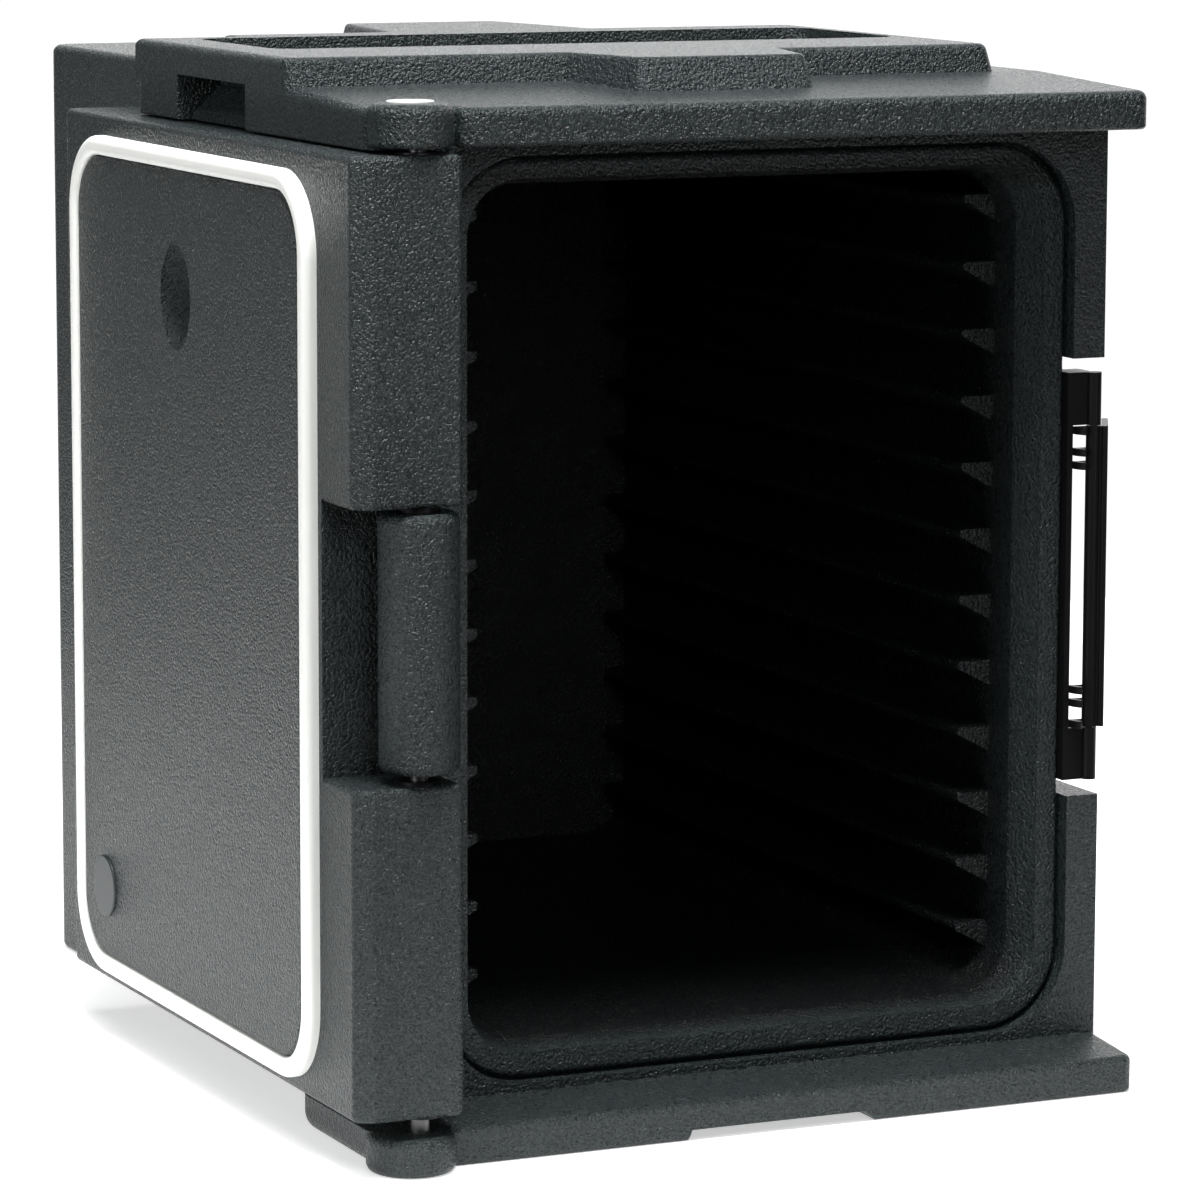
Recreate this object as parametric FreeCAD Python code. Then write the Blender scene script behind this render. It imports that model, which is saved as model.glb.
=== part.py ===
import FreeCAD, Part
import math
import os
from FreeCAD import Vector

# Front-loading insulated food carrier: a double-walled, foam-filled plastic cabinet with twelve
# pan rails a side, a thick door that swings 270 degrees back onto the left wall, and a side latch.
# Millimetres, +Z up, +X to the right and +Y to the back, seen from the front.
# The origin is the middle of the cabinet's footprint, on the floor.

# ---- cabinet ----
body_left = -211.0
body_right = 211.0
body_front = -286.0
body_back = 286.5
body_top = 564.5
shell = 4.5                 # wall of the hollow moulding
foam_gap = 0.3              # room left round each foam core
rear_corner = 16.0
fold_wall = -200.5          # left wall is set back here, so that the open door folds in
fold_back = 112.0

# ---- cavity, sealing ring and pan rails ----
cavity_left = -167.3
cavity_right = 167.3
cavity_bottom = 49.0
cavity_top = 514.0
cavity_back = 255.0
cavity_corner = 30.0
ring_left = -186.2
ring_right = 189.3
ring_bottom = 31.5
ring_top = 528.5
ring_side = 14.0            # width of the ring's face at the sides
ring_foot = 13.5            # and along the bottom
ring_head = 10.5             # and along the top
ring_front = body_front + 6.8
ring_corner = 45.0
ring_round = 3.0
groove_width = 2.0
groove_back = ring_front + 7.0
throat_back = -261.0
rail_count = 12
rail_pitch = 37.7
rail_top = 497.9
rail_reach = 19.5
rail_root = 14.5
rail_tip = 4.0
rail_front = -237.5
rail_back = cavity_back - 12.0

# ---- hinge ----
hinge_x = -221.0
hinge_y = -329.5
knuckle_r = 22.5
foot_r = 24.0
knuckle_shift = 3.0         # the knuckles are centred this far left of and behind the pins
barrel_r = 21.5
barrel_bottom = 214.0
barrel_top = 351.0
pin_r = 5.0
bush_r = 8.0
cap_r = 12.5
running_fit = 0.05

# ---- lid lip, front ledge and base ----
lip_front = hinge_y - 3.0
lip_bottom = 538.4
lip_top = 559.5
lip_left = -198.0
ledge_top_front = 20.8
ledge_top_back = 25.0
knuckle_top_z = 20.5
boss_bottom = 539.5
boss_top = 562.5
wing_left = -246.0
wing_back = -219.0
wing_top = 20.5
notch_left = -66.0
notch_right = 48.0
notch_height = 6.0

# ---- top: side handle block, platform and stacking tongues ----
block_left = -246.0
block_back = 27.5
block_bottom = 537.8
platform_left = block_left
platform_right = 179.0
platform_front = -211.5
platform_back = 52.0
platform_top = 580.0
platform_draft = 5.0
slope_start = -213.5        # in front of here the top falls away to the lip
tongue_mid = -17.0
tongue_root = 70.0
tongue_tip = 49.0
front_tongue_reach = 64.0
rear_tongue_reach = 112.0
tongue_draft = 8.0
tray_left = -216.0
tray_right = 168.0
tray_front = -118.0
tray_back = 10.0
tray_floor = 567.0
handle_front = -147.0
handle_back = -41.0
handle_top = 566.0
handle_depth = 26.0

# ---- door, drawn folded open against the left wall ----
door_in = hinge_x - 42.0    # gasket side, faces left while the door is open
door_out = hinge_x + 19.1
door_hinge_edge = hinge_y - 16.0
door_free_edge = hinge_y + 432.0
door_cant_x = 10.0          # the slanting facet along the door's hinge edge
door_cant_y = 6.5
door_bottom = 31.0
door_top = 536.6
cutout_edge = hinge_y + 31.0
cutout_bottom = 208.0
cutout_top = 354.5
gasket_front = hinge_y + 36.0
gasket_back = hinge_y + 406.0
gasket_bottom = 38.0
gasket_top = 525.0
gasket_width = 11.0
gasket_reach = 8.0
gasket_root = 3.0
gasket_corner = 44.0
panel_reach = 6.0
dish_y = hinge_y + 232.0
dish_z = 444.0
dish_width = 47.0
dish_height = 59.0
dish_depth = 15.0
fill_y = hinge_y + 358.0
fill_z = 90.0
fill_r = 18.0
vent_sleeve_r = 9.0         # solid plastic round the vent hole, through the door's hollow
vent_bore_r = 5.0
vent_seat_r = 20.0
vent_seat_depth = 6.0
body_fill_x = 120.0         # the cabinet's own fill plug, in its back wall
body_fill_z = 90.0

# ---- side latch, in a recess of the right wall ----
recess_floor = 189.0
recess_bottom = 162.0
recess_top = 409.0
recess_back = -190.0
latch_bottom = 171.0
latch_top = 401.0
latch_block = 29.5          # height of each end block
latch_plate = 3.5
latch_back = -245.0
lever_x = 205.5             # latch pivot axis
lever_y = -284.5
lever_core = 4.2
lever_pin_r = 2.0
hook_in = 10.5              # hook fingers run from this radius to hook_out, about the pivot
hook_out = 12.8
hook_sweep = 47.0
handle_ajar = 60.6          # direction of the lever's plate when the latch is ajar
keeper_r = 2.5
keeper_orbit = 7.6
latched_turn = 26.0
keeper_turn = 238.0         # where the keeper rod lies about the pivot, with the door shut
insert_length = 10.0
insert_r = 3.5
screw_r = 2.0


def box(x0, x1, y0, y1, z0, z1):
    return Part.makeBox(x1 - x0, y1 - y0, z1 - z0, Vector(x0, y0, z0))


def tube(x, y, z0, z1, r):
    return Part.makeCylinder(r, z1 - z0, Vector(x, y, z0))


def rod_x(x0, x1, y, z, r):
    return Part.makeCylinder(r, x1 - x0, Vector(x0, y, z), Vector(1, 0, 0))


def rod_y(x, y0, y1, z, r):
    return Part.makeCylinder(r, y1 - y0, Vector(x, y0, z), Vector(0, 1, 0))


def prism(points, direction):
    """Extrude a closed outline of corner points along a vector."""
    outline = [Vector(*p) for p in points]
    wire = Part.makePolygon(outline + [outline[0]])
    return Part.Face(wire).extrude(Vector(*direction))


def soften(shape, radius, wanted):
    """Round every edge whose bounding box passes the test."""
    edges = [e for e in shape.Edges if wanted(e.BoundBox)]
    return shape.makeFillet(radius, edges)


def flat(low, high, value, slack=0.02):
    return abs(low - value) < slack and abs(high - value) < slack


def runs_up(b):
    return b.ZLength > 1 and b.XLength < 0.01 and b.YLength < 0.01


def rounded_wall(x0, x1, y0, y1, z0, z1, r):
    """A block whose four long edges, along Y, are rounded."""
    block = box(x0, x1, y0, y1, z0, z1)
    return soften(block, r, lambda b: b.YLength > 1 and b.XLength < 0.01 and b.ZLength < 0.01)


def rounded_slab(x0, x1, y0, y1, z0, z1, r):
    """A block whose four long edges, along X, are rounded."""
    block = box(x0, x1, y0, y1, z0, z1)
    return soften(block, r, lambda b: b.XLength > 1 and b.YLength < 0.01 and b.ZLength < 0.01)


def rounded_post(x0, x1, y0, y1, z0, z1, r):
    """A block whose four upright edges are rounded."""
    return soften(box(x0, x1, y0, y1, z0, z1), r, runs_up)


# ---- cabinet shell ----

def cabinet_block():
    """The outer block, with the lip of the lid reaching forward over the door."""
    profile = [(body_left, lip_front, lip_bottom), (body_left, lip_front, lip_top),
               (body_left, slope_start, body_top), (body_left, body_back, body_top),
               (body_left, body_back, 0), (body_left, body_front, 0), (body_left, body_front, lip_bottom)]
    main = prism(profile, (body_right - body_left, 0, 0))
    main = main.cut(box(body_left - 1, lip_left, lip_front - 1, body_front, lip_bottom - 1, body_top))
    main = soften(main, rear_corner, lambda b: runs_up(b) and b.YMin > 0)
    main = main.cut(box(body_left - 1, fold_wall, body_front - 1, fold_back, -1, block_bottom))
    main = soften(main, 7, lambda b: runs_up(b) and b.YMax < lip_front + 1)
    main = soften(main, 5, lambda b: b.ZMin > lip_top - 1 and not flat(b.YMin, b.YMax, slope_start))
    main = soften(main, 2.5, lambda b: flat(b.ZMin, b.ZMax, lip_bottom) and b.YMin < lip_front + 8)
    return soften(main, 4, lambda b: flat(b.ZMin, b.ZMax, 0) and b.YMax > body_front + 1)


def top_slope():
    """What is cut from the flat top, so that it falls gently to the lip."""
    left = platform_left - 5
    profile = [(left, lip_front - 2, lip_top), (left, slope_start, body_top),
               (left, slope_start, body_top + 9), (left, lip_front - 2, body_top + 9)]
    return prism(profile, (body_right + 5 - left, 0, 0))


def front_ledge():
    back = body_front + 4
    left = hinge_x + 8
    profile = [(left, lip_front, 0), (left, lip_front, ledge_top_front),
               (left, body_front, ledge_top_back), (left, back, ledge_top_back), (left, back, 0)]
    ledge = prism(profile, (body_right - left, 0, 0))
    ledge = soften(ledge, 7, lambda b: runs_up(b) and b.YMax < lip_front + 1 and b.XMin > 0)
    ledge = soften(ledge, 4, lambda b: b.YMin < lip_front + 8 and b.ZMin > ledge_top_front - 1
                   and b.YMax < body_front)
    ledge = soften(ledge, 3, lambda b: flat(b.ZMin, b.ZMax, 0) and b.YMin < lip_front + 8)
    slope = notch_height
    outline = [(notch_left, -1), (notch_left + slope * 0.5, slope),
               (notch_right - slope, slope), (notch_right + 2, -1)]
    notch = prism([(x, lip_front - 1, z) for x, z in outline], (0, 110, 0))
    return ledge, notch


def hinge_knuckles():
    x = hinge_x - knuckle_shift
    y = hinge_y + knuckle_shift
    boss = tube(x, y, boss_bottom, boss_top, knuckle_r)
    boss = soften(boss, 5, lambda b: flat(b.ZMin, b.ZMax, boss_top))
    boss = soften(boss, 3, lambda b: flat(b.ZMin, b.ZMax, boss_bottom))
    foot = tube(x - 1, y, 0, knuckle_top_z, foot_r)
    foot = soften(foot, 5, lambda b: flat(b.ZMin, b.ZMax, knuckle_top_z))
    foot = soften(foot, 4.5, lambda b: flat(b.ZMin, b.ZMax, 0))
    barrel = tube(hinge_x, hinge_y, barrel_bottom, barrel_top, barrel_r)
    barrel = soften(barrel, 5, lambda b: b.ZLength < 0.01)
    plan = [(4, 12), (23, 7), (29.5, 16), (29.5, 46), (20.5, 46), (20.5, 24), (4, 20)]
    low = barrel_bottom + 4
    web = prism([(hinge_x + px, hinge_y + py, low) for px, py in plan], (0, 0, barrel_top - 4 - low))
    return [boss, foot, barrel, web]


def lid_neck():
    """Joins the top hinge boss to the lip and to the handle block."""
    neck = box(hinge_x - 6, lip_left + 14, hinge_y + 5, body_front + 4, boss_bottom, lip_top - 1)
    return soften(neck, 3, lambda b: b.YMax < hinge_y + 6 and b.ZLength < 0.01)


def handle_block():
    front = hinge_y + 6
    block = box(block_left, body_left + 30, front, block_back, block_bottom, body_top)
    block = block.cut(top_slope())
    block = soften(block, 9, lambda b: runs_up(b) and b.XMax < block_left + 1)
    block = soften(block, 5, lambda b: b.ZMin > lip_top and b.XMax < body_left + 29)
    return soften(block, 1, lambda b: flat(b.ZMin, b.ZMax, block_bottom) and b.XMax < body_left + 29)


def base_wing():
    wing = box(wing_left, body_left + 30, hinge_y + 6, wing_back, 0, wing_top)
    wing = soften(wing, 10, lambda b: runs_up(b) and b.XMax < wing_left + 1)
    wing = soften(wing, 11, lambda b: flat(b.ZMin, b.ZMax, 0) and b.XMax < body_left + 29)
    return wing.cut(box(fold_wall, body_left + 31, hinge_y, body_front, -1, wing_top + 1))


def frustum(low, high, z0, z1):
    """A solid between a low outline and a high one, with straight sloping sides."""
    wires = []
    for outline, z in ((low, z0), (high, z1)):
        points = [Vector(x, y, z) for x, y in outline]
        wires.append(Part.makePolygon(points + [points[0]]))
    return Part.makeLoft(wires, True, True)


def tongue(root_y, direction, reach):
    """A raised stacking key that narrows away from the platform."""
    root = root_y - direction * 10
    base = root_y + direction * reach
    crest = base - direction * tongue_draft
    m = tongue_mid
    low = [(m - tongue_root, root), (m - tongue_tip - 3, base), (m + tongue_tip + 3, base),
           (m + tongue_root, root)]
    high = [(m - tongue_root + 4, root), (m - tongue_tip, crest), (m + tongue_tip, crest),
            (m + tongue_root - 4, root)]
    key = frustum(low, high, body_top - 6, platform_top)
    key = soften(key, 5, lambda b: b.ZLength > 10 and b.YLength < tongue_draft + 1
                 and abs(b.YMin - root) > 5 and abs(b.YMax - root) > 5)
    return soften(key, 3, lambda b: flat(b.ZMin, b.ZMax, platform_top)
                  and abs((b.YMin + b.YMax) / 2 - root) > 1)


def platform():
    d = platform_draft
    low = [(platform_left, platform_front), (platform_right + d, platform_front),
           (platform_right + d, platform_back), (platform_left, platform_back)]
    high = [(platform_left, platform_front + d), (platform_right, platform_front + d),
            (platform_right, platform_back - d), (platform_left, platform_back - d)]
    deck = frustum(low, high, body_top - 8, platform_top)
    deck = soften(deck, 8, lambda b: b.ZLength > 10)
    left_drop = box(platform_left - 1, platform_left + 60, block_back, platform_back + 1,
                    body_top - 9, platform_top + 1)
    deck = deck.cut(left_drop)
    deck = soften(deck, 4.5, lambda b: flat(b.ZMin, b.ZMax, platform_top))
    tray = rounded_post(tray_left, tray_right, tray_front, tray_back, tray_floor, platform_top + 5, 14)
    tray = soften(tray, 4, lambda b: flat(b.ZMin, b.ZMax, tray_floor))
    return deck.cut(tray)


def handle_pocket(side):
    """A hand hold: shallow at the bottom and deep at the top, where the fingers hook over."""
    wall = block_left if side < 0 else body_right
    inward = -side
    top = handle_top if side < 0 else body_top - 5
    profile = [(wall - inward * 5, block_bottom - 3), (wall + inward * 7, block_bottom - 3),
               (wall + inward * 12, block_bottom + 6), (wall + inward * handle_depth, top - 9),
               (wall + inward * handle_depth, top), (wall + inward * 8, top), (wall + inward * 6, top - 3),
               (wall - inward * 5, top - 3)]
    points = [(x, handle_front, z) for x, z in profile]
    return prism(points, (0, handle_back - handle_front, 0))


def sealing_front():
    """The rebate and groove that leave the sealing ring standing round the opening."""
    g = groove_width
    outer = (ring_left, ring_right, ring_bottom, ring_top)
    rebate = rounded_wall(outer[0] - g, outer[1] + g, body_front - 1, ring_front,
                          outer[2] - g, outer[3] + g, ring_corner + g)
    groove = rounded_wall(outer[0] - g, outer[1] + g, body_front - 1, groove_back,
                          outer[2] - g, outer[3] + g, ring_corner + g)
    ring = rounded_wall(outer[0], outer[1], ring_front, groove_back + 5, outer[2], outer[3], ring_corner)
    ring = soften(ring, ring_round, lambda b: flat(b.YMin, b.YMax, ring_front))
    return rebate.fuse(groove.cut(ring))


def throat(y):
    """The opening's outline, which is the ring's inner edge, at a depth."""
    return rounded_wire(ring_left + ring_side, ring_right - ring_side, ring_bottom + ring_foot,
                        ring_top - ring_head, y, ring_corner - ring_side)


def cavity():
    room = rounded_wall(cavity_left, cavity_right, throat_back, cavity_back,
                        cavity_bottom, cavity_top, cavity_corner)
    walls = rounded_wire(cavity_left, cavity_right, cavity_bottom, cavity_top, throat_back, cavity_corner)
    mouth = Part.makeLoft([throat(ring_front - 1), throat(ring_front + 0.6)], True)
    taper = Part.makeLoft([throat(ring_front + 0.6), walls], True)
    return room.fuse(mouth).fuse(taper)


def rounded_wire(x0, x1, z0, z1, y, r):
    """A rounded rectangle that lies in a plane of constant Y."""
    k = r * math.sqrt(0.5)
    mids = [(x1 - r, z0 + r, 1, -1), (x1 - r, z1 - r, 1, 1),
            (x0 + r, z1 - r, -1, 1), (x0 + r, z0 + r, -1, -1)]
    edges = []
    last = None
    first = None
    for cx, cz, sx, sz in mids:
        if sx * sz < 0:
            start = Vector(cx, y, cz + sz * r)
            end = Vector(cx + sx * r, y, cz)
        else:
            start = Vector(cx + sx * r, y, cz)
            end = Vector(cx, y, cz + sz * r)
        if last is not None:
            edges.append(Part.makeLine(last, start))
        else:
            first = start
        edges.append(Part.Arc(start, Vector(cx + sx * k, y, cz + sz * k), end).toShape())
        last = end
    edges.append(Part.makeLine(last, first))
    return Part.Wire(edges)


def pan_rail(wall, direction, top):
    """One wedge-shaped rail that grows out of a side wall."""
    tip_x = wall + direction * rail_reach
    root_x = wall - direction * 2
    profile = [(root_x, rail_front, top), (tip_x, rail_front, top), (tip_x, rail_front, top - rail_tip),
               (wall, rail_front, top - rail_root), (root_x, rail_front, top - rail_root)]
    rail = prism(profile, (0, rail_back - rail_front, 0))
    return soften(rail, 1.6, lambda b: abs(b.XMin - tip_x) < 0.01 and abs(b.XMax - tip_x) < 0.01)


def pan_rails():
    rails = []
    for i in range(rail_count):
        top = rail_top - i * rail_pitch
        rails.append(pan_rail(cavity_left, 1, top))
        rails.append(pan_rail(cavity_right, -1, top))
    return rails


def body_void(gap):
    """The space between the cabinet's two walls, less a gap."""
    t = shell + gap
    core = box(body_left + t, body_right - t, throat_back + 2 + gap, body_back - t, 12 + gap, body_top - t)
    fold = box(body_left - 1, fold_wall + t, body_front - 1, fold_back + t, 0, body_top + 1)
    inner = box(cavity_left - t, cavity_right + t, body_front - 1, cavity_back + t,
                cavity_bottom - t, cavity_top + t)
    recess = box(recess_floor - t, body_right + 1, body_front - 1, recess_back + t,
                 recess_bottom - t, recess_top + t)
    bosses = box(recess_floor - insert_length - t, body_right + 1, body_front - 1, latch_back + t,
                 latch_bottom - t, latch_top + t)
    grip = box(body_right - handle_depth - t, body_right + 1, handle_front - t, handle_back + t,
               block_bottom - 6 - t, body_top + 1)
    slope = box(body_left - 1, body_right + 1, body_front - 1, slope_start, lip_top - t, body_top + 1)
    for hollow in (fold, inner, recess, bosses, grip, slope):
        core = core.cut(hollow)
    return core


def latch_recess():
    return rounded_slab(recess_floor, body_right + 5, body_front - 6, recess_back,
                        recess_bottom, recess_top, 4)


def latch_screw_spots():
    spots = []
    for z in (latch_bottom + 16, latch_top - 16):
        spots.append((latch_back - 9, z))
        spots.append((latch_back - 27, z))
    return spots


def hinge_bores():
    upper = tube(hinge_x, hinge_y, 262, boss_top + 1, pin_r)
    lower = tube(hinge_x, hinge_y, -1, 302, pin_r)
    x = hinge_x - knuckle_shift
    y = hinge_y + knuckle_shift
    top_seat = tube(x, y, boss_top - 3, boss_top + 1, cap_r)
    bottom_seat = tube(x, y, -1, 3, cap_r)
    return [upper, lower, top_seat, bottom_seat]


def body_shell():
    ledge, notch = front_ledge()
    shape = cabinet_block()
    for piece in [ledge, handle_block(), base_wing(), lid_neck(), platform(),
                  tongue(platform_front, -1, front_tongue_reach),
                  tongue(platform_back, 1, rear_tongue_reach)] + hinge_knuckles():
        shape = shape.fuse(piece)
    for hollow in [notch, sealing_front(), cavity(), latch_recess(), handle_pocket(-1), handle_pocket(1)]:
        shape = shape.cut(hollow)
    for rail in pan_rails():
        shape = shape.fuse(rail)
    shape = shape.cut(body_void(0))
    shape = shape.cut(rod_y(body_fill_x, cavity_back + 10, body_back + 1, body_fill_z, fill_r))
    for bore in hinge_bores():
        shape = shape.cut(bore)
    for y, z in latch_screw_spots():
        shape = shape.cut(rod_x(recess_floor - insert_length, recess_floor + 1, y, z, insert_r))
    return shape.removeSplitter()


def body_fill_plug():
    stem = rod_y(body_fill_x, body_back - shell, body_back, body_fill_z, fill_r)
    head = rod_y(body_fill_x, body_back, body_back + 1.5, body_fill_z, fill_r + 3)
    head = soften(head, 0.8, lambda b: flat(b.YMin, b.YMax, body_back + 1.5))
    return stem.fuse(head).removeSplitter()


# ---- hinge pins, bushes and caps ----

def hinge_pin(z0, z1):
    pin = tube(hinge_x, hinge_y, z0, z1, pin_r)
    return pin.makeChamfer(0.6, [e for e in pin.Edges if e.BoundBox.ZLength < 0.01])


def pin_cap(z0, z1):
    cap = tube(hinge_x - knuckle_shift, hinge_y + knuckle_shift, z0, z1, cap_r)
    outer = z1 if z1 > 100 else z0
    return soften(cap, 0.8, lambda b: flat(b.ZMin, b.ZMax, outer))


def door_bush(face_z, direction, flange_height=1.5):
    """A flanged plastic bush that is pressed into the end of a door block."""
    depth = face_z - direction * 18
    flange = face_z + direction * flange_height
    body = tube(hinge_x, hinge_y, min(face_z, depth), max(face_z, depth), bush_r)
    rim = tube(hinge_x, hinge_y, min(face_z, flange), max(face_z, flange), bush_r + 3)
    bore = tube(hinge_x, hinge_y, min(depth, flange) - 1, max(depth, flange) + 1, pin_r + running_fit)
    return body.fuse(rim).cut(bore).removeSplitter()


# ---- door ----

def door_slab():
    slab = box(door_in, door_out, door_hinge_edge, door_free_edge, door_bottom, door_top)
    y0 = door_hinge_edge
    y1 = y0 + door_cant_y
    x1 = door_in + door_cant_x
    outline = [(door_in - 1, y1), (door_in, y1), (x1, y0), (x1, y0 - 1), (door_in - 1, y0 - 1)]
    corner = prism([(x, y, door_bottom - 1) for x, y in outline], (0, 0, door_top - door_bottom + 2))
    slab = slab.cut(corner)
    slab = soften(slab, 3, lambda b: runs_up(b) and b.YMax < y1 + 1 and b.XMax < door_out - 1)
    slab = soften(slab, 4, lambda b: runs_up(b) and b.YMax < door_hinge_edge + 1 and b.XMin > door_out - 1)
    slab = soften(slab, 5, lambda b: runs_up(b) and b.YMin > door_free_edge - 1)
    slab = soften(slab, 3.5, lambda b: flat(b.ZMin, b.ZMax, door_bottom) or flat(b.ZMin, b.ZMax, door_top))
    cut = box(door_in - 1, door_out + 1, door_hinge_edge - 1, cutout_edge, cutout_bottom, cutout_top)
    slab = slab.cut(cut)
    return soften(slab, 2.5, lambda b: b.YMin < cutout_edge - 1
                  and (flat(b.ZMin, b.ZMax, cutout_bottom) or flat(b.ZMin, b.ZMax, cutout_top)))


def door_panel():
    """The raised inner face, inside the gasket."""
    g = gasket_width
    panel = box(door_in - panel_reach, door_in + 5, gasket_front + g, gasket_back - g,
                gasket_bottom + g, gasket_top - g)
    corner = gasket_corner - g
    panel = soften(panel, corner, lambda b: b.XLength > 1 and b.YLength < 0.01 and b.ZLength < 0.01)
    return soften(panel, 3.5, lambda b: flat(b.XMin, b.XMax, door_in - panel_reach))


def gasket_ring(x0, x1, inset_out, inset_in):
    outer = box(x0, x1, gasket_front + inset_out, gasket_back - inset_out,
                gasket_bottom + inset_out, gasket_top - inset_out)
    inner = box(x0 - 1, x1 + 1, gasket_front + inset_in, gasket_back - inset_in,
                gasket_bottom + inset_in, gasket_top - inset_in)
    along_x = lambda b: b.XLength > 1 and b.YLength < 0.01 and b.ZLength < 0.01
    outer = soften(outer, gasket_corner - inset_out, along_x)
    inner = soften(inner, gasket_corner - inset_in, along_x)
    return outer.cut(inner)


def door_gasket():
    """A D-section sealing ring on a narrow root that is pressed into the door's groove."""
    crown = gasket_ring(door_in - gasket_reach, door_in, 0, gasket_width)
    crown = soften(crown, 4.5, lambda b: flat(b.XMin, b.XMax, door_in - gasket_reach))
    root = gasket_ring(door_in, door_in + gasket_root, 3, gasket_width - 3)
    return crown.fuse(root).removeSplitter()


def vent_dish():
    """The oval dish on the inner face, at the mouth of the steam vent."""
    ball = Part.makeSphere(1.0)
    grow = FreeCAD.Matrix()
    grow.scale(dish_depth, dish_width / 2, dish_height / 2)
    dish = ball.transformGeometry(grow)
    dish.translate(Vector(door_in - panel_reach, dish_y, dish_z))
    return dish


def keeper_spot():
    """Where the keeper rod lies on the open door."""
    angle = math.radians(keeper_turn)
    shut_x = lever_x + keeper_orbit * math.cos(angle)
    shut_y = lever_y + keeper_orbit * math.sin(angle)
    return hinge_x - (shut_y - hinge_y), hinge_y + (shut_x - hinge_x)


def keeper_pocket():
    y0 = hinge_y + recess_floor - hinge_x
    return box(door_in - 7, door_in + 17, y0, door_free_edge + 1, recess_bottom, recess_top)


def door_void(gap):
    t = shell + gap
    core = box(door_in + 10 + gap, door_out - t, cutout_edge + t, door_free_edge - t,
               door_bottom + t, door_top - t)
    pocket = box(door_in - 8, door_in + 17 + t, hinge_y + recess_floor - hinge_x - t, door_free_edge + 1,
                 recess_bottom - 12 - t, recess_top + 12 + t)
    sleeve = rod_x(door_in - 10, door_out + 1, dish_y, dish_z, vent_sleeve_r + gap)
    dish = rod_x(door_in - 10, door_in + 14 + gap, dish_y, dish_z, dish_height / 2 + 3 + gap)
    seat = rod_x(door_out - 10 - gap, door_out + 1, dish_y, dish_z, vent_seat_r + 4 + gap)
    for hollow in (pocket, sleeve, dish, seat):
        core = core.cut(hollow)
    return core


def door_shell():
    shape = door_slab().fuse(door_panel())
    shape = shape.cut(gasket_ring(door_in - 1, door_in + gasket_root, 3, gasket_width - 3))
    shape = shape.cut(vent_dish()).cut(keeper_pocket()).cut(door_void(0))
    shape = shape.cut(rod_x(door_in - 10, door_in + 12, fill_y, fill_z, fill_r))
    shape = shape.cut(tube(hinge_x, hinge_y, door_bottom - 1, door_top + 1, pin_r + 1.5))
    for z0, z1 in ((door_bottom, door_bottom + 18), (cutout_bottom - 18, cutout_bottom),
                   (cutout_top, cutout_top + 18), (door_top - 18, door_top)):
        shape = shape.cut(tube(hinge_x, hinge_y, z0, z1, bush_r))
    kx, ky = keeper_spot()
    shape = shape.cut(tube(kx, ky, recess_bottom - 10, recess_top + 10, keeper_r))
    shape = shape.cut(rod_x(door_in - 10, door_out + 1, dish_y, dish_z, vent_bore_r))
    return shape.cut(rod_x(door_out - vent_seat_depth, door_out + 1, dish_y, dish_z, vent_seat_r))


def door_fill_plug():
    stem = rod_x(door_in - panel_reach, door_in + 6, fill_y, fill_z, fill_r)
    crown = rod_x(door_in - panel_reach - 1.2, door_in - panel_reach, fill_y, fill_z, fill_r)
    plug = stem.fuse(crown).removeSplitter()
    return soften(plug, 1.0, lambda b: flat(b.XMin, b.XMax, door_in - panel_reach - 1.2))


def latch_keeper():
    kx, ky = keeper_spot()
    return tube(kx, ky, recess_bottom - 10, recess_top + 10, keeper_r)


def vent_seal():
    x0 = door_out - vent_seat_depth
    ring = rod_x(x0, x0 + 1.5, dish_y, dish_z, 14)
    return ring.cut(rod_x(x0 - 1, x0 + 3, dish_y, dish_z, vent_bore_r + 1))


def vent_cap():
    """A quarter-turn cap on the outer face that covers or bares the vent hole."""
    x0 = door_out - vent_seat_depth + 1.8
    disc = rod_x(x0, x0 + 2.4, dish_y, dish_z, vent_seat_r - 1)
    grip = box(x0 + 2.4, x0 + 3.9, dish_y - 16, dish_y + 16, dish_z - 2, dish_z + 2)
    spigot = rod_x(x0 - 12, x0, dish_y, dish_z, 3.6)
    port = rod_x(x0 - 1, x0 + 4, dish_y, dish_z + 11, 2.5)
    return disc.fuse(grip).fuse(spigot).cut(port).removeSplitter()


# ---- latch ----

def latch_base():
    shape = box(recess_floor, recess_floor + latch_plate, body_front + 1.5, latch_back,
                latch_bottom, latch_top)
    for z0 in (latch_bottom, latch_top - latch_block):
        z1 = z0 + latch_block
        block = box(recess_floor, lever_x, body_front + 1.5, body_front + 20, z0, z1)
        block = soften(block, 1.5, lambda b: runs_up(b) and b.YMin > body_front + 19
                       and b.XMin > lever_x - 1)
        ear = tube(lever_x, lever_y, z0, z1, lever_core)
        shape = shape.fuse(block).fuse(ear)
    for y, z in latch_screw_spots():
        shape = shape.cut(rod_x(recess_floor - 1, recess_floor + 40, y, z, screw_r + 0.3))
        shape = shape.cut(rod_x(recess_floor + latch_plate - 1.5, recess_floor + 40, y, z, 4.2))
    for z0, z1 in lever_pin_spans():
        shape = shape.cut(tube(lever_x, lever_y, z0, z1, lever_pin_r))
    return shape.removeSplitter()


def lever_pin_spans():
    inner_low = latch_bottom + latch_block
    inner_high = latch_top - latch_block
    return ((inner_low - 14, inner_low + 10), (inner_high - 10, inner_high + 14))


def lever_pin(span):
    pin = tube(lever_x, lever_y, span[0], span[1], lever_pin_r)
    return pin.makeChamfer(0.4, [e for e in pin.Edges if e.BoundBox.ZLength < 0.01])


def polar(radius, degrees):
    a = math.radians(degrees)
    return lever_x + radius * math.cos(a), lever_y + radius * math.sin(a)


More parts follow.
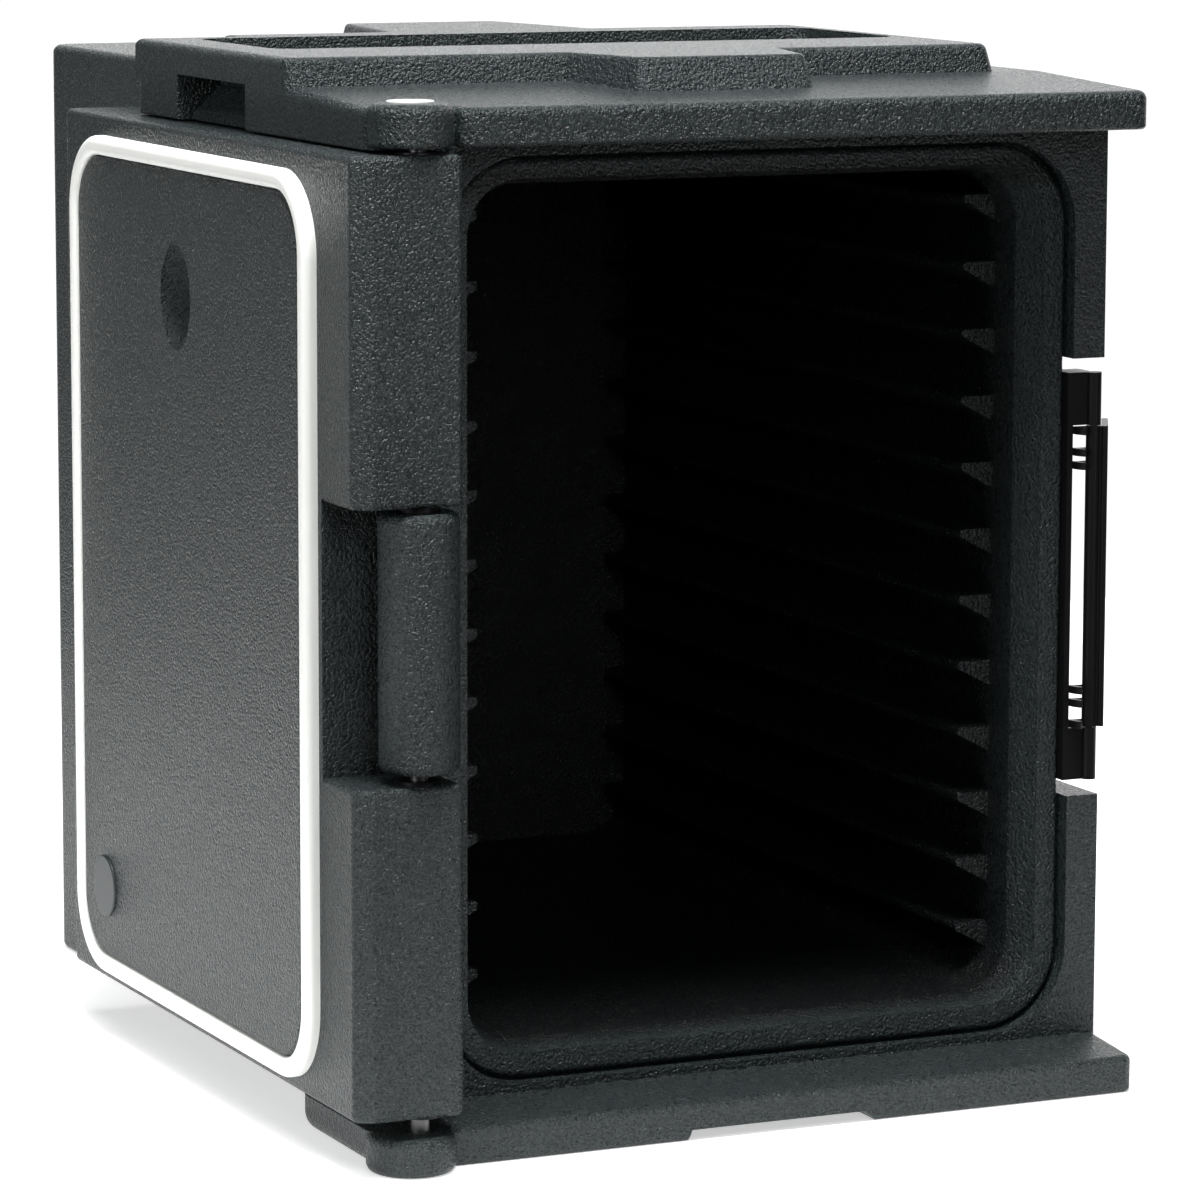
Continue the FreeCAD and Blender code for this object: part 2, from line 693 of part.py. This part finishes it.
def hook_finger(z0, z1):
    """A short radial arm with a curved tip that leads round the pivot."""
    tip = Part.makeCylinder(hook_out, z1 - z0, Vector(lever_x, lever_y, z0), Vector(0, 0, 1), hook_sweep)
    tip = tip.cut(tube(lever_x, lever_y, z0 - 1, z1 + 1, hook_in))
    arm = Part.makeCylinder(hook_out, z1 - z0, Vector(lever_x, lever_y, z0), Vector(0, 0, 1), 15)
    finger = tip.fuse(arm)
    finger.rotate(Vector(lever_x, lever_y, 0), Vector(0, 0, 1), 174)
    return finger


def latch_lever():
    low = latch_bottom + latch_block + 0.6
    high = latch_top - latch_block - 0.6
    core = tube(lever_x, lever_y, low, high, lever_core)
    a = math.radians(handle_ajar)
    along = Vector(math.cos(a), math.sin(a), 0)
    out = Vector(math.sin(a), -math.cos(a), 0)
    pivot = Vector(lever_x, lever_y, 0)
    near = pivot + out * 4.6 - along * 2
    far = near + along * 38
    points = [near, near + out * 3.6, far + out * 3.6, far]
    plate = prism([(p.x, p.y, low) for p in points], (0, 0, high - low))
    plate = soften(plate, 1.4, runs_up)
    rib = [pivot - along * 2, near, near + along * 6, pivot + along * 3]
    web = prism([(p.x, p.y, low) for p in rib], (0, 0, high - low))
    shape = core.fuse(plate).fuse(web)
    for z0 in (low, low + 12, low + 19.5):
        shape = shape.fuse(hook_finger(z0, z0 + 4.2))
    for z1 in (high, high - 12, high - 19.5):
        shape = shape.fuse(hook_finger(z1 - 4.2, z1))
    for z0, z1 in lever_pin_spans():
        shape = shape.cut(tube(lever_x, lever_y, z0 - 1, z1 + 1, lever_pin_r + running_fit))
    return shape.removeSplitter()


def latch_inserts():
    solids = []
    for y, z in latch_screw_spots():
        sleeve = rod_x(recess_floor - insert_length, recess_floor, y, z, insert_r)
        solids.append(sleeve.cut(rod_x(recess_floor - insert_length - 1, recess_floor + 1, y, z, screw_r)))
    return Part.makeCompound(solids)


def latch_screws():
    solids = []
    face = recess_floor + latch_plate - 1.5
    for y, z in latch_screw_spots():
        shank = rod_x(recess_floor - insert_length + 1, face, y, z, screw_r)
        head = rod_x(face, face + 2.6, y, z, 3.9)
        slot = box(face + 1.4, face + 3, y - 0.6, y + 0.6, z - 3, z + 3)
        cross = box(face + 1.4, face + 3, y - 3, y + 3, z - 0.6, z + 0.6)
        solids.append(shank.fuse(head).cut(slot).cut(cross).removeSplitter())
    return Part.makeCompound(solids)


def save(name, shape):
    shape.exportStep("parts/" + name + ".step")
    box_ = shape.BoundBox
    print(name, shape.isValid(), len(shape.Solids), round(shape.Volume / 1000, 1), "cm3",
          [round(v, 1) for v in (box_.XMin, box_.XMax, box_.YMin, box_.YMax, box_.ZMin, box_.ZMax)])


os.makedirs("parts", exist_ok=True)
save("body_shell", body_shell())
save("body_foam_core", body_void(foam_gap))
save("body_fill_plug", body_fill_plug())
save("upper_hinge_pin", hinge_pin(300, boss_top - 3))
save("lower_hinge_pin", hinge_pin(3, 262))
save("top_pin_cap", pin_cap(boss_top - 3, boss_top + 1.2))
save("bottom_pin_cap", pin_cap(0.6, 3))
save("upper_block_top_bush", door_bush(door_top, 1, 0.8))
save("upper_block_bottom_bush", door_bush(cutout_top, -1, cutout_top - barrel_top - 0.3))
save("lower_block_top_bush", door_bush(cutout_bottom, 1))
save("lower_block_bottom_bush", door_bush(door_bottom, -1))
save("door_shell", door_shell())
save("door_foam_core", door_void(foam_gap))
save("door_gasket", door_gasket())
save("door_fill_plug", door_fill_plug())
save("latch_keeper_rod", latch_keeper())
save("vent_cap", vent_cap())
save("vent_seal", vent_seal())
save("latch_base", latch_base())
save("latch_lever", latch_lever())
save("latch_upper_pivot_pin", lever_pin(lever_pin_spans()[1]))
save("latch_lower_pivot_pin", lever_pin(lever_pin_spans()[0]))
save("latch_inserts", latch_inserts())
save("latch_screws", latch_screws())
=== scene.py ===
"""Looks for the insulated food carrier: materials, studio light and camera."""
import math

import bpy
from mathutils import Matrix, Vector

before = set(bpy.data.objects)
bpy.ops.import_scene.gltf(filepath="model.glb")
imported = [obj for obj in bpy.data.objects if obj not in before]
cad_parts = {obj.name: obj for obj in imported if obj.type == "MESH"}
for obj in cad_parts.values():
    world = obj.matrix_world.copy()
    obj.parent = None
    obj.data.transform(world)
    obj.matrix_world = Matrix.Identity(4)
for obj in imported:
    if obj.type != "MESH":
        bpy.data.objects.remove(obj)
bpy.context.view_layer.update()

# ---- camera, in metres and degrees ----
CAMERA_AT = (-1.3117, -2.9394, 0.7313)
CAMERA_AZIMUTH = 24.588
CAMERA_PITCH = 8.581
CAMERA_ROLL = 0.147
FOCAL_OVER_WIDTH = 4.580417     # of the lens and the sensor
SENSOR = 36.0                   # millimetres

# ---- where shade is painted into the plastic's colour, in metres ----
# Painted shade for the dark cavity, as ramps whose product is 1 inside the cavity and 0 outside it: an axis,
# then where it is 0 and where it is 1.
CAVITY_PAINTED_SHADE = (("Y", -0.276, -0.225), ("Y", 0.262, 0.2585), ("X", -0.1715, -0.169), ("X", 0.1715, 0.169),
               ("Z", 0.0410, 0.0430), ("Z", 0.5185, 0.5165))
# The same painted shade for the lower part of the ring's top, standing in for the shadow the lid casts
# there.
BROW_PAINTED_SHADE = (("Y", -0.2815, -0.2795), ("Y", 0.262, 0.2585), ("X", -0.1900, -0.1880), ("X", 0.1930, 0.1910),
             ("Z", 0.503, 0.511), ("Z", 0.5225, 0.5205))
# And painted shade for the cavity's floor, dark right up to the ring.
CAVITY_FLOOR_PAINTED_SHADE = (("Y", -0.276, -0.262), ("Y", 0.262, 0.2585), ("X", -0.1750, -0.1715), ("X", 0.1780, 0.1745),
              ("Z", 0.0410, 0.0430), ("Z", 0.075, 0.060))

# ---- colours, linear ----
CHARCOAL = (0.0155, 0.0215, 0.0225, 1)
# Painted shade: a near-black colour that stands in for the darkness inside the cavity.
PAINTED_SHADE_COLOUR = (0.0025, 0.0035, 0.004, 1)    # inside the cavity, where little light reaches
NYLON = (0.0045, 0.0045, 0.005, 1)
GASKET = (0.93, 0.94, 0.91, 1)
STEEL = (0.14, 0.14, 0.14, 1)
CAP_GREY = (0.42, 0.43, 0.42, 1)
FOAM = (0.80, 0.72, 0.50, 1)
BRASS = (0.72, 0.56, 0.28, 1)

# The moulded grain: size and height in metres, then how far shade and roughness vary.
GRAIN = (0.0017, 0.0024, 0.6, 0.14)
MOULDED_ROUGHNESS = 0.30
MOULDED_SPECULAR = 0.38

# ---- light ----
SUN_POWER = 1.9             # of the broad overhead light
SUN_SPREAD = 42             # degrees
SUN_DIRECTION = (0.05, 0.05, -1)
FLOOR_GLOW = 0.52           # the table is lit from below too, which keeps shadows light
ROOM_LIGHT = 0.10           # of the dim studio round the object
BACK_LIGHT = 2.3            # of the bright wall behind it, to the right
BACK_FROM = (0.6, 0.8, 0.0)     # the way to that wall
BACK_EDGE = (0.74, 0.95)    # cosines of the angle from BACK_FROM where the wall starts and is full
BACKDROP = 1.1              # white, as the camera sees it
FLOOR_X = (-0.75, 1.5)
FLOOR_Y = (-0.48, 1.3)

# Name, place, aim, width, height and watts.
SOFT_BOXES = (
    ("top box", (-0.25, -0.55, 1.9), (-0.05, -0.2, 0.5), 0.7, 0.5, 42),
    ("side box", (-2.5, -0.5, 0.9), (-0.25, -0.1, 0.3), 1.2, 1.2, 24),
    ("left box", (-0.33, -1.15, 0.8), (-0.24, -0.34, 0.45), 0.3, 0.4, 3.4),
    ("right box", (0.45, -1.75, 0.27), (-0.15, -0.33, 0.4), 0.4, 0.3, 0.9),
)


# ---- materials ----

def new_material(name, colour, roughness, metallic=0.0, specular=0.5):
    material = bpy.data.materials.new(name)
    material.use_nodes = True
    shader = material.node_tree.nodes["Principled BSDF"]
    shader.inputs["Base Color"].default_value = colour
    shader.inputs["Roughness"].default_value = roughness
    shader.inputs["Metallic"].default_value = metallic
    shader.inputs["Specular IOR Level"].default_value = specular
    return material


def add_grain(material, size, height, mottle=0.0, glint=0.0):
    """A pebbled surface: bumps about `size` metres across, with some change of shade and roughness."""
    tree = material.node_tree
    shader = tree.nodes["Principled BSDF"]
    where = tree.nodes.new("ShaderNodeTexCoord")
    noise = tree.nodes.new("ShaderNodeTexNoise")
    noise.inputs["Scale"].default_value = 1.0 / size
    noise.inputs["Detail"].default_value = 2.0
    noise.inputs["Roughness"].default_value = 0.6
    bump = tree.nodes.new("ShaderNodeBump")
    bump.inputs["Strength"].default_value = 1.0
    bump.inputs["Distance"].default_value = height
    tree.links.new(where.outputs["Object"], noise.inputs["Vector"])
    if glint:
        gloss = tree.nodes.new("ShaderNodeMapRange")
        gloss.inputs["From Min"].default_value = 0.35
        gloss.inputs["From Max"].default_value = 0.65
        gloss.inputs["To Min"].default_value = shader.inputs["Roughness"].default_value - glint
        gloss.inputs["To Max"].default_value = shader.inputs["Roughness"].default_value + glint
        tree.links.new(noise.outputs["Fac"], gloss.inputs["Value"])
        tree.links.new(gloss.outputs["Result"], shader.inputs["Roughness"])
    tree.links.new(noise.outputs["Fac"], bump.inputs["Height"])
    tree.links.new(bump.outputs["Normal"], shader.inputs["Normal"])
    if mottle:
        base = shader.inputs["Base Color"].default_value[:]
        ramp = tree.nodes.new("ShaderNodeMapRange")
        ramp.inputs["From Min"].default_value = 0.3
        ramp.inputs["From Max"].default_value = 0.7
        ramp.inputs["To Min"].default_value = 1.0 - mottle
        ramp.inputs["To Max"].default_value = 1.0 + mottle
        tint = tree.nodes.new("ShaderNodeVectorMath")
        tint.operation = "SCALE"
        tint.inputs[0].default_value = base[:3]
        tree.links.new(noise.outputs["Fac"], ramp.inputs["Value"])
        tree.links.new(ramp.outputs["Result"], tint.inputs["Scale"])
        tree.links.new(tint.outputs["Vector"], shader.inputs["Base Color"])
    return material


def paint_shade_inside(material, shade_colour, shade_ramps):
    """Painted shade: a darker colour where every ramp is 1, fading to the material's own where any is 0."""
    tree = material.node_tree
    shader = tree.nodes["Principled BSDF"]
    where = tree.nodes.new("ShaderNodeTexCoord")
    split = tree.nodes.new("ShaderNodeSeparateXYZ")
    tree.links.new(where.outputs["Object"], split.inputs["Vector"])
    factor = None
    for axis, low, high in shade_ramps:
        ramp = tree.nodes.new("ShaderNodeMapRange")
        ramp.inputs["From Min"].default_value = low
        ramp.inputs["From Max"].default_value = high
        tree.links.new(split.outputs[axis], ramp.inputs["Value"])
        if factor is None:
            factor = ramp.outputs["Result"]
            continue
        both = tree.nodes.new("ShaderNodeMath")
        both.operation = "MULTIPLY"
        tree.links.new(factor, both.inputs[0])
        tree.links.new(ramp.outputs["Result"], both.inputs[1])
        factor = both.outputs["Value"]
    mix = tree.nodes.new("ShaderNodeMix")
    mix.data_type = "RGBA"    # its inputs 0, 6 and 7 are then the factor and the two colours
    colour = shader.inputs["Base Color"]
    if colour.is_linked:
        tree.links.new(colour.links[0].from_socket, mix.inputs[6])
    mix.inputs[6].default_value = colour.default_value[:]
    mix.inputs[7].default_value = shade_colour
    tree.links.new(factor, mix.inputs[0])
    tree.links.new(mix.outputs[2], colour)
    return material


def moulded(name):
    """The grained charcoal plastic of the two mouldings."""
    return add_grain(new_material(name, CHARCOAL, MOULDED_ROUGHNESS, specular=MOULDED_SPECULAR), *GRAIN)


shell = moulded("charcoal shell")
cabinet_with_painted_shade = moulded("charcoal cabinet")
# Shade painted into this plastic's colour: dark inside the cavity, on its floor and on the ring's top under
# the lid.
for shade_ramps in (CAVITY_PAINTED_SHADE, BROW_PAINTED_SHADE, CAVITY_FLOOR_PAINTED_SHADE):
    paint_shade_inside(cabinet_with_painted_shade, PAINTED_SHADE_COLOUR, shade_ramps)
smooth = add_grain(new_material("smooth charcoal", CHARCOAL, 0.45), 0.003, 0.00005)
nylon = add_grain(new_material("black nylon", NYLON, 0.38, specular=0.25), 0.0008, 0.00006)
rubber = new_material("white gasket", GASKET, 0.42)
steel = new_material("stainless steel", STEEL, 0.42, metallic=1.0)
cap = new_material("grey cap", CAP_GREY, 0.4)
foam = add_grain(new_material("foam", FOAM, 0.9, specular=0.2), 0.0015, 0.0004)
brass = new_material("brass", BRASS, 0.35, metallic=1.0)

FINISHES = {
    "body_shell": cabinet_with_painted_shade, "door_shell": shell, "body_fill_plug": smooth, "door_fill_plug": smooth,
    "body_foam_core": foam, "door_foam_core": foam, "door_gasket": rubber, "vent_seal": rubber,
    "upper_hinge_pin": steel, "lower_hinge_pin": steel, "latch_keeper_rod": steel,
    "latch_upper_pivot_pin": steel, "latch_lower_pivot_pin": steel, "latch_screws": steel,
    "latch_inserts": brass, "top_pin_cap": cap, "bottom_pin_cap": cap,
    "upper_block_top_bush": nylon, "upper_block_bottom_bush": nylon,
    "lower_block_top_bush": nylon, "lower_block_bottom_bush": nylon,
    "latch_base": nylon, "latch_lever": nylon, "vent_cap": nylon,
}
for name, finish in FINISHES.items():
    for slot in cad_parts[name].material_slots:
        slot.material = finish


# ---- floor, light and camera ----

def area_light(name, at, aim, width, height, power):
    data = bpy.data.lights.new(name, "AREA")
    data.shape = "RECTANGLE"
    data.size = width
    data.size_y = height
    data.energy = power
    light = bpy.data.objects.new(name, data)
    bpy.context.scene.collection.objects.link(light)
    light.location = at
    light.visible_camera = False
    light.rotation_mode = "QUATERNION"
    light.rotation_quaternion = (Vector(aim) - Vector(at)).to_track_quat("-Z", "Y")


def make_floor():
    """A pale table top, which ends where the door's panel should stop mirroring it."""
    left, right = FLOOR_X
    front, back = FLOOR_Y
    corners = [(left, front, 0), (right, front, 0), (right, back, 0), (left, back, 0)]
    mesh = bpy.data.meshes.new("floor")
    mesh.from_pydata(corners, [], [(0, 1, 2, 3)])
    floor = bpy.data.objects.new("floor", mesh)
    bpy.context.scene.collection.objects.link(floor)
    paint = new_material("pale floor", (0.9, 0.9, 0.9, 1), 0.9, specular=0.1)
    shader = paint.node_tree.nodes["Principled BSDF"]
    shader.inputs["Emission Color"].default_value = (1, 1, 1, 1)
    shader.inputs["Emission Strength"].default_value = FLOOR_GLOW
    floor.data.materials.append(paint)


def make_world():
    """White to look at; as a light, a dim room with a bright wall at the back."""
    world = bpy.data.worlds.new("studio")
    world.use_nodes = True
    tree = world.node_tree
    white = tree.nodes["Background"]
    white.inputs["Color"].default_value = (1, 1, 1, 1)
    white.inputs["Strength"].default_value = BACKDROP
    room = tree.nodes.new("ShaderNodeBackground")
    where = tree.nodes.new("ShaderNodeTexCoord")
    facing = tree.nodes.new("ShaderNodeVectorMath")
    facing.operation = "DOT_PRODUCT"
    facing.inputs[1].default_value = BACK_FROM
    ramp = tree.nodes.new("ShaderNodeMapRange")
    ramp.inputs["From Min"].default_value = BACK_EDGE[0]
    ramp.inputs["From Max"].default_value = BACK_EDGE[1]
    ramp.inputs["To Min"].default_value = ROOM_LIGHT
    ramp.inputs["To Max"].default_value = BACK_LIGHT
    path = tree.nodes.new("ShaderNodeLightPath")
    mix = tree.nodes.new("ShaderNodeMixShader")
    tree.links.new(where.outputs["Generated"], facing.inputs[0])
    tree.links.new(facing.outputs["Value"], ramp.inputs["Value"])
    tree.links.new(ramp.outputs["Result"], room.inputs["Strength"])
    tree.links.new(path.outputs["Is Camera Ray"], mix.inputs["Fac"])
    tree.links.new(room.outputs["Background"], mix.inputs[1])
    tree.links.new(white.outputs["Background"], mix.inputs[2])
    tree.links.new(mix.outputs["Shader"], tree.nodes["World Output"].inputs["Surface"])
    bpy.context.scene.world = world


def make_sun(strength, spread, direction):
    data = bpy.data.lights.new("overhead", "SUN")
    data.energy = strength
    data.angle = math.radians(spread)
    sun = bpy.data.objects.new("overhead", data)
    bpy.context.scene.collection.objects.link(sun)
    sun.rotation_mode = "QUATERNION"
    sun.rotation_quaternion = Vector(direction).to_track_quat("-Z", "Y")


def make_camera():
    data = bpy.data.cameras.new("camera")
    data.sensor_width = SENSOR
    data.lens = FOCAL_OVER_WIDTH * SENSOR
    camera = bpy.data.objects.new("camera", data)
    bpy.context.scene.collection.objects.link(camera)
    azimuth = math.radians(CAMERA_AZIMUTH)
    pitch = math.radians(CAMERA_PITCH)
    level = math.cos(pitch)
    forward = Vector((math.sin(azimuth) * level, math.cos(azimuth) * level, -math.sin(pitch)))
    turn = forward.to_track_quat("-Z", "Y").to_matrix().to_4x4()
    turn = turn @ Matrix.Rotation(math.radians(CAMERA_ROLL), 4, "Z")
    camera.matrix_world = Matrix.Translation(CAMERA_AT) @ turn
    data.clip_start = 0.1
    data.clip_end = 60
    bpy.context.scene.camera = camera


make_floor()
make_world()
make_sun(SUN_POWER, SUN_SPREAD, SUN_DIRECTION)
make_camera()
for soft_box in SOFT_BOXES:
    area_light(*soft_box)
bpy.context.scene.view_settings.view_transform = "Standard"
